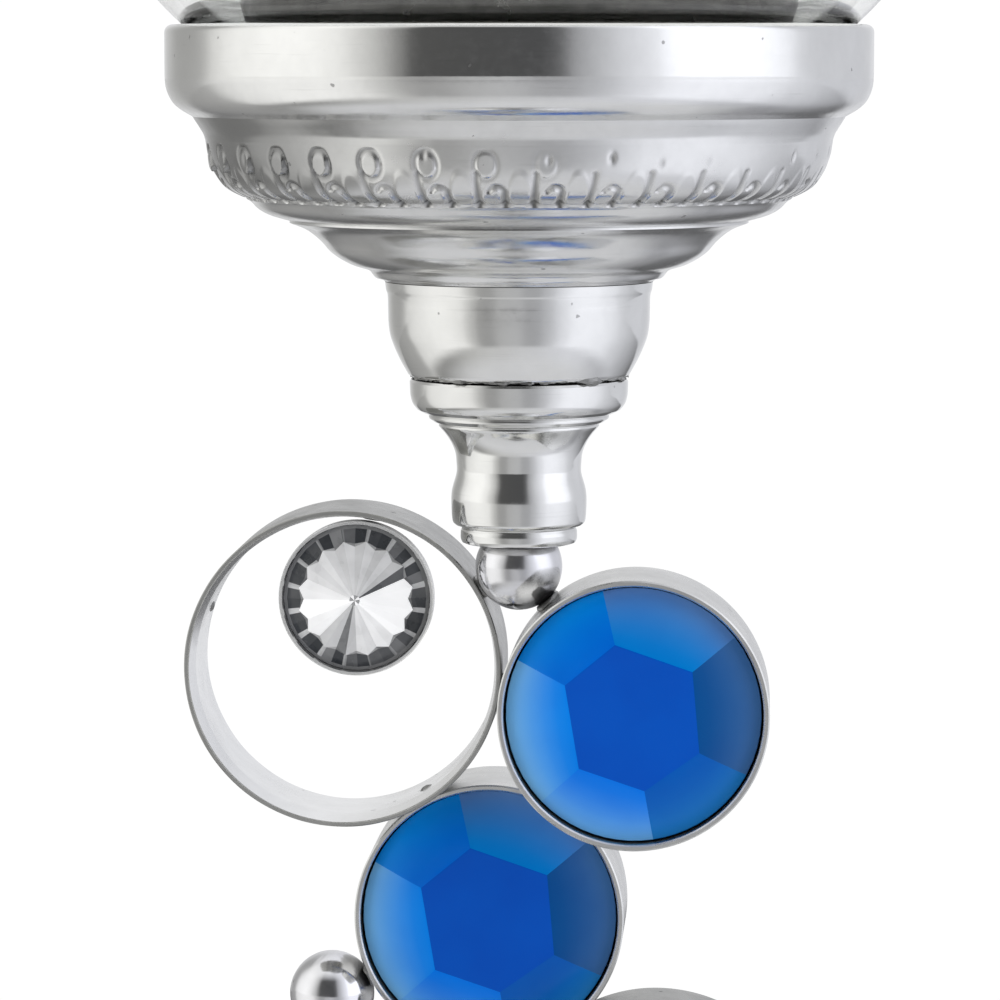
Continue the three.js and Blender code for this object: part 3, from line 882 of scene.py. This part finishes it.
def solder_drop(name, ring, angle, depth, length, width):
    """Lumpy drop of solder inside a ring; angle in degrees from +X as seen from the front."""
    centre_x, centre_z, radius, front, _ = round_of(ring)
    inside = radius - RING_WALL
    rows, cols = 10, 16
    verts = []
    for j in range(rows + 1):
        lift = pi * j / rows
        for k in range(cols):
            turn = TAU * k / cols
            swell = 1 + 0.35 * ripple(turn, 1, lift + angle)
            along = radians(angle) + sin(lift) * cos(turn) * length * swell / inside
            y = front + depth + sin(lift) * sin(turn) * width * swell
            r = inside + 0.1 + cos(lift) * width * 0.8
            verts.append((centre_x + r * cos(along), y, centre_z + r * sin(along)))
    make(name, verts, tube_faces(rows, cols), SOLDER)


def solder_drops():
    """Drops inside the open rings, where a crystal's cup or the next bezel is soldered on."""
    for i in (1, 2):
        ring_x, ring_z, _, ring_front, _ = round_of(f"ring_{i}")
        cup_x, cup_z, _, cup_front, cup_back = round_of(f"crystal_cup_{i}")
        contact = degrees(atan2(cup_z - ring_z, cup_x - ring_x))
        depth = (cup_front + cup_back) / 2 - ring_front
        solder_drop(f"cup_solder_{i}", f"ring_{i}", contact, depth, 1.6, 0.45)
    solder_drop("solder_drop_1", "ring_1", -58, 5.5, 0.7, 0.45)
    solder_drop("solder_drop_2", "ring_1", 160, 9.0, 0.6, 0.45)


# ---- foot

def base_shell():
    top, radius, wall, motifs = SHELL_TOP, SHELL_R, 1.4, 44
    low = box_mm("base_shell")[0].z
    lip = [(radius - 1.0, low), *arc((radius - 0.7, low + 0.7), 0.7, -80, 0, 6)]
    band = [(radius - 0.05, low + 1.6), (radius - 0.2, low + 5.6),
            *curve([(radius - 0.6, low + 7.0), (radius - 1.4, low + 8.2), (radius - 2.6, low + 8.9),
                    (radius - 3.4, low + 9.1)], 5)]
    field = curve([(radius - 3.9, low + 9.5), (radius - 4.3, low + 11.3), (radius - 5.4, low + 13.4),
                   (radius - 7.4, low + 15.2), (radius - 10.2, low + 16.4)], 12)
    shoulder = curve([(radius - 10.5, low + 16.6), (radius - 11.4, low + 17.2),
                      (radius - 13.4, low + 17.7), (radius - 15.2, low + 17.8)], 5)
    ogee = curve([(29.4, low + 18.0), (26.6, low + 18.9), (22.8, low + 21.0), (18.4, low + 24.2),
                  (15.2, low + 26.6), (14.6, top - 1.4)], 8)
    crown = [*curve([(14.2, top - 1.3), (13.7, top - 0.9), (13.4, top - 0.25)], 3),
             (13.0, top), (BORE, top)]
    outside = [*lip, *band, *field, *shoulder, *ogee, *crown]
    inside = [(BORE, top - wall), (12.4, top - wall), (17, low + 23.1), (23, low + 19.6), (28, low + 16.6),
              (radius - 11, low + 14.9), (radius - 6.8, low + 12.6), (radius - 5.0, low + 9.0),
              (radius - 1.8, low + 6.8), (radius - 1.5, low + 0.8)]
    outline = outside + inside
    start = len(lip) + len(band)
    end = start + len(field) - 1
    relief = stamped(outline, start, end, motifs, 0.1)
    verts, faces, pushes = revolve(outline, motifs * 32, closed=True, relief=relief)
    stand_in("base_shell", verts, faces, SATIN, pushes=pushes)


def felt_pad():
    low, high = box_mm("felt_pad")
    radius = high.x
    outline = [(0, low.z), (radius - 0.3, low.z), (radius, low.z + 0.3), (radius, high.z - 0.3),
               (radius - 0.3, high.z), (0, high.z)]

    def fuzz(angle, index):
        return -0.06 * abs(ripple(angle, 14, index))

    verts, faces, _ = revolve(outline, 240, relief=fuzz)
    stand_in("felt_pad", verts, faces, FELT, "felt")


# ---- glass and candle

def glass_globe():
    low, high = box_mm("glass_globe")
    radius, wall = high.x, 2.7
    centre = RIM_TOP + 35.8
    inner = radius - wall
    foot_angle = degrees(asin((low.z - centre) / radius))
    mouth_angle = degrees(asin((high.z - wall / 2 - centre) / radius))
    floor_z = low.z + 4.5
    floor_angle = degrees(asin((floor_z + 0.8 - centre) / inner))
    lip_r = (radius + inner) / 2 * cos(radians(mouth_angle))
    outer = arc((0, centre), radius, foot_angle + 1.5, mouth_angle, 64)
    bore = arc((0, centre), inner, mouth_angle, floor_angle, 56)
    lip = arc((lip_r, high.z - wall / 2), wall / 2, 30, 150, 10)
    foot_r = radius * cos(radians(foot_angle))
    floor_r = bore[-1][0]
    outline = [(0, low.z + 0.6), (foot_r - 5, low.z + 0.5), (foot_r - 1.6, low.z),
               (foot_r - 0.6, low.z + 0.05), *outer, *lip, *bore, (floor_r - 1.2, floor_z + 0.1),
               (floor_r - 3, floor_z), (0, floor_z)]
    verts, faces, _ = revolve(outline, 200)
    stand_in("glass_globe", verts, faces, GLASS, "clear_glass", body="glass", sharp=60)


def candle_tin():
    low, high = box_mm("candle_tin")
    radius, wall = high.x, 0.3
    outside = [(0, low.z + 0.5), (radius - 6, low.z + 0.4), (radius - 3, low.z),
               *curve([(radius - 2.2, low.z + 0.1), (radius - 0.9, low.z + 0.9),
                       (radius - 0.35, low.z + 2.6)], 5),
               (radius - 0.3, low.z + 3.2)]
    flutes_from = len(outside)
    outside += [(radius - 0.3, low.z + 3.2 + (high.z - low.z - 4.4) * i / 10) for i in range(1, 11)]
    flutes_to = len(outside)
    roll = arc((radius - 0.4, high.z - 0.4), 0.4, -30, 180, 10)
    inside = [(radius - 0.3 - wall, high.z - 1.0), (radius - 0.3 - wall, low.z + 3.2),
              (radius - 2.6, low.z + 0.8), (radius - 6, low.z + 0.8), (0, low.z + 0.8)]
    outline = outside + roll + inside

    def flutes(angle, index):
        if flutes_from <= index < flutes_to:
            share = sin(pi * (index - flutes_from + 1) / (flutes_to - flutes_from + 1))
            return -0.16 * share * (0.5 - 0.5 * cos(angle * 60))
        return 0.0

    verts, faces, _ = revolve(outline, 480, relief=flutes)
    # Its near-black tin is painted shade.
    stand_in("candle_tin", verts, faces, TIN, "tin", body="candle")


def wax():
    low, high = box_mm("wax")
    radius, top = high.x - 0.1, high.z
    outline = [
        (6.4, low.z), (radius - 2, low.z), (radius, low.z + 3),
        *curve([(radius, top - 0.2), (radius - 0.6, top - 0.7), (radius - 3, top - 0.95), (12, top - 0.9),
                (4, top - 0.75), (1.6, top - 0.45), (1.15, top - 0.2)], 6),
        (1.1, low.z + 5), (6.4, low.z + 1.7),
    ]

    def uneven(angle, index):
        return 0.06 * ripple(angle, 2, index * 0.3)

    verts, faces, _ = revolve(outline, 128, closed=True, relief=uneven)
    stand_in("wax", verts, faces, WAX, "wax", body="candle")


def wick():
    """Three braided strands."""
    low, high = box_mm("wick")
    strands, steps, sides = 3, 90, 8
    verts, faces = [], []
    for s in range(strands):
        first = len(verts)
        for j in range(steps + 1):
            z = low.z + 0.2 + (high.z - low.z - 0.4) * j / steps
            a = TAU * (s / strands) + z * 1.9
            for b in (TAU * k / sides for k in range(sides)):
                verts.append((0.34 * cos(a) + 0.4 * cos(b), 0.34 * sin(a) + 0.4 * sin(b), z))
        faces += tube_faces(steps, sides, first)
        faces.append([first + k for k in range(sides)][::-1])
        faces.append([first + steps * sides + k for k in range(sides)])
    stand_in("wick", verts, faces, WICK, "wick", body="candle")


# ---- CAD nodes that stay

def repaint_cad():
    """Hidden fittings keep their CAD shape and get a finished material."""
    finishes = (
        (SOLDER, ("upper_bolt", "upper_washer", "base_bolt", "base_nut", "base_washer")),
        (IRON, ("base_weight", "base_plate")),
        (TIN, ("wick_sustainer",)),
    )
    for finish, names in finishes:
        for name in names:
            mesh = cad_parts[name].data
            mesh.materials.clear()
            mesh.materials.append(finish)


# ---- studio

# The studio as the holder sees it: brightness by azimuth, in degrees from the front (-Y), positive to the
# right. Above the horizon: a dark space in front, between two soft panels.
WALLS = ((-180, 0.84), (-168, 0.76), (-152, 0.55), (-132, 0.42), (-112, 0.82), (-92, 1.12), (-75, 1.18),
         (-60, 1.06), (-49, 0.8), (-41, 0.55), (-34, 0.26), (-27, 0.1), (8, 0.09), (21, 0.42), (33, 0.74),
         (47, 1.06), (62, 1.42), (80, 1.4), (97, 1.18), (117, 0.76), (135, 0.76), (152, 0.72), (168, 0.8),
         (180, 0.84))
# Below it, further out on the table: the painted light that the floor glows with there, for what the holder
# reflects.
TABLE_FAR = ((-180, 0.12), (-165, 0.14), (-150, 0.3), (-127, 0.4), (-119, 0.44), (-109, 0.8), (-92, 0.98),
             (-70, 1.06), (-54, 1.0), (-44, 0.76), (-36, 0.54), (-26, 0.4), (-13, 0.52), (0, 0.55),
             (13, 0.46), (26, 0.58), (45, 0.96), (65, 1.16), (87, 1.06), (107, 0.8), (124, 0.62),
             (145, 0.38), (165, 0.15), (180, 0.12))
# Lower still, close to the foot; the floor glows with this painted light there too.
TABLE_NEAR = ((-180, 0.58), (-155, 0.38), (-130, 0.33), (-105, 0.33), (-85, 0.36), (-60, 0.5), (-30, 0.64),
              (0, 0.68), (30, 0.76), (60, 0.84), (90, 0.68), (115, 0.52), (135, 0.36), (160, 0.35),
              (180, 0.58))
BRIGHTEST = 1.5
CEILING = 1.0
EYE_WHITE = 1.02


def graph(tree, turn, points):
    """Brightness read from a smooth line through (azimuth, brightness) points; turn runs from 0 to 1."""
    made = node(tree, "FloatCurve", {"Value": turn})
    line = made.mapping.curves[0]
    spots = [((a + 180) / 360, level / BRIGHTEST) for a, level in points]
    line.points[0].location, line.points[1].location = spots[0], spots[-1]
    for spot in spots[1:-1]:
        line.points.new(*spot)
    for point in line.points:
        point.handle_type = "AUTO_CLAMPED"
    made.mapping.update()
    return maths(tree, "MULTIPLY", made.outputs[0], BRIGHTEST)


def blend_values(tree, factor, a, b):
    return node(tree, "Mix", {0: factor, 2: a, 3: b}, data_type="FLOAT").outputs[0]


def room_light(tree, direction):
    """Brightness and colour of the studio in a direction given as a unit vector."""
    axes = node(tree, "SeparateXYZ", {0: direction}).outputs
    azimuth = maths(tree, "ARCTAN2", axes[0], maths(tree, "MULTIPLY", axes[1], -1.0))
    turn = ramp(tree, azimuth, -pi, pi)
    high = blend_values(tree, ramp(tree, axes[2], 0.65, 0.9), graph(tree, turn, WALLS), CEILING)
    near = ramp(tree, axes[2], -0.5, -0.62, kind="SMOOTHSTEP")
    low = blend_values(tree, near, graph(tree, turn, TABLE_FAR), graph(tree, turn, TABLE_NEAR))
    edge = ramp(tree, axes[1], 0.2, 0.9, -0.05, -0.25, "SMOOTHSTEP")
    level = blend_values(tree, ramp(tree, maths(tree, "SUBTRACT", axes[2], edge), -0.01, 0.01), low, high)
    side = ramp(tree, axes[0], -0.6, 0.6)
    return level, mix_colour(tree, side, (1.0, 0.998, 0.985), (0.94, 0.955, 1.02))


def seen_directly(tree):
    path = node(tree, "LightPath").outputs
    return maths(tree, "MAXIMUM", path["Is Camera Ray"], path["Is Transmission Ray"])


def floor():
    """Pale floor, matt near the holder to take its contact shadow, and clean white further out to the eye.
    Further out, in what the holder reflects, it glows with painted light from the studio tables instead.
    """
    near, far = 400, 6000
    mesh = bpy.data.meshes.new("floor")
    verts, faces, _ = revolve([(0, 0), (near, 0), (far, 0)], 96)
    mesh.from_pydata([Vector(v) * MM for v in verts], [], faces)
    mat, tree, shader = new_material("floor")
    place = node(tree, "TexCoord").outputs["Object"]
    mottle = noise_of(tree, place, 40.0, 3.0)
    pale = mix_colour(tree, mottle, (0.86, 0.86, 0.86), (0.9, 0.9, 0.9))
    feed(tree, shader, {"Base Color": pale, "Roughness": 0.9})
    away = node(tree, "VectorMath", {0: place}, operation="LENGTH").outputs["Value"]
    eye = seen_directly(tree)
    from_stem = node(tree, "VectorMath", {0: place, 1: (0, 0, JOIN * MM)}, operation="SUBTRACT")
    direction = node(tree, "VectorMath", {0: from_stem.outputs[0]}, operation="NORMALIZE")
    level, colour = room_light(tree, direction.outputs[0])
    # Painted light: for reflected rays, the floor glows with the studio's brightness in that direction.
    glow = node(tree, "Emission", {"Color": mix_colour(tree, eye, colour, (1, 1, 1)),
                                             "Strength": blend_values(tree, eye, level, EYE_WHITE)})
    clean = blend_values(tree, eye, ramp(tree, away, 0.1, 0.2, kind="SMOOTHSTEP"),
                         ramp(tree, away, 0.1, 0.42, kind="SMOOTHSTEP"))
    mixed = node(tree, "MixShader", {0: clean, 1: shader.outputs[0], 2: glow.outputs[0]})
    feed(tree, tree.nodes["Material Output"], {"Surface": mixed.outputs[0]})
    mesh.materials.append(mat)
    new_object("floor", mesh)


def studio_world():
    """White to the eye, and the soft panels of the studio for everything the surfaces reflect."""
    world = bpy.data.worlds.new("studio")
    bpy.context.scene.world = world
    world.use_nodes = True
    tree = world.node_tree
    tree.nodes.clear()
    level, colour = room_light(tree, node(tree, "TexCoord").outputs["Generated"])
    room = node(tree, "Background", {"Color": colour, "Strength": level})
    white = node(tree, "Background", {"Color": (1, 1, 1, 1), "Strength": EYE_WHITE})
    shaders = {0: seen_directly(tree), 1: room.outputs[0], 2: white.outputs[0]}
    mixed = node(tree, "MixShader", shaders)
    node(tree, "OutputWorld", {"Surface": mixed.outputs[0]})


def fill_light(azimuth, elevation, distance, size, power):
    """Broad soft lamp aimed at the stem, which lights the stones but isn't seen in the polished metal."""
    a, e = radians(azimuth), radians(elevation)
    away = Vector((sin(a) * cos(e), -cos(a) * cos(e), sin(e)))
    light = bpy.data.lights.new("fill", "AREA")
    light.size = size
    light.energy = power
    lamp = new_object("fill", light)
    lamp.location = Vector((0, 0, JOIN * MM)) + away * distance
    lamp.rotation_mode = "QUATERNION"
    lamp.rotation_quaternion = (-away).to_track_quat("-Z", "Y")
    lamp.visible_camera = False
    lamp.visible_glossy = False
    lamp.visible_transmission = False


SENSOR = 36.0
LENS = 4.4      # focal length in sensor widths


def camera():
    """Close view from a little to the right, with the eye level with the dish, looking down the stem."""
    distance, turn, tilt, aside = 440.0, radians(3.4), atan(0.1), -1.9
    eye = RIM_TOP - 3.5
    data = bpy.data.cameras.new("view")
    data.sensor_width = SENSOR
    data.lens = SENSOR * LENS
    data.clip_start, data.clip_end = 0.02, 50.0
    cam = new_object("view", data)
    x = distance * sin(turn) + aside * cos(turn)
    y = -distance * cos(turn) + aside * sin(turn)
    cam.location = Vector((x, y, eye)) * MM
    look = Vector((-sin(turn) * cos(tilt), cos(turn) * cos(tilt), -sin(tilt)))
    cam.rotation_mode = "QUATERNION"
    cam.rotation_quaternion = look.to_track_quat("-Z", "Y")
    bpy.context.scene.camera = cam


# ---- assembly

rim_band()
dish_pan()
embossed_cup()
ogee_collar()
bulb_knop()
upper_neck()
rough_seam("knop_seam", radius=10.8, height=JOIN + 16.88, thick=0.26)
for i in (1, 2, 3, 4):
    fine_ball(i)
    fine_bezel(i)
    fine_stone(i)
    fine_stone(i, rear=True)
for i in (1, 2):
    fine_ring(i)
    crystal_cup(i)
    crystal(i)
solder_joints()
solder_drops()
lower_neck()
base_shell()
felt_pad()
glass_globe()
candle_tin()
wax()
wick()
repaint_cad()

floor()
studio_world()
fill_light(azimuth=-38, elevation=-6, distance=1.2, size=0.9, power=6.2)
camera()
bpy.context.scene.view_settings.view_transform = "Standard"
bpy.context.scene.view_settings.look = "None"
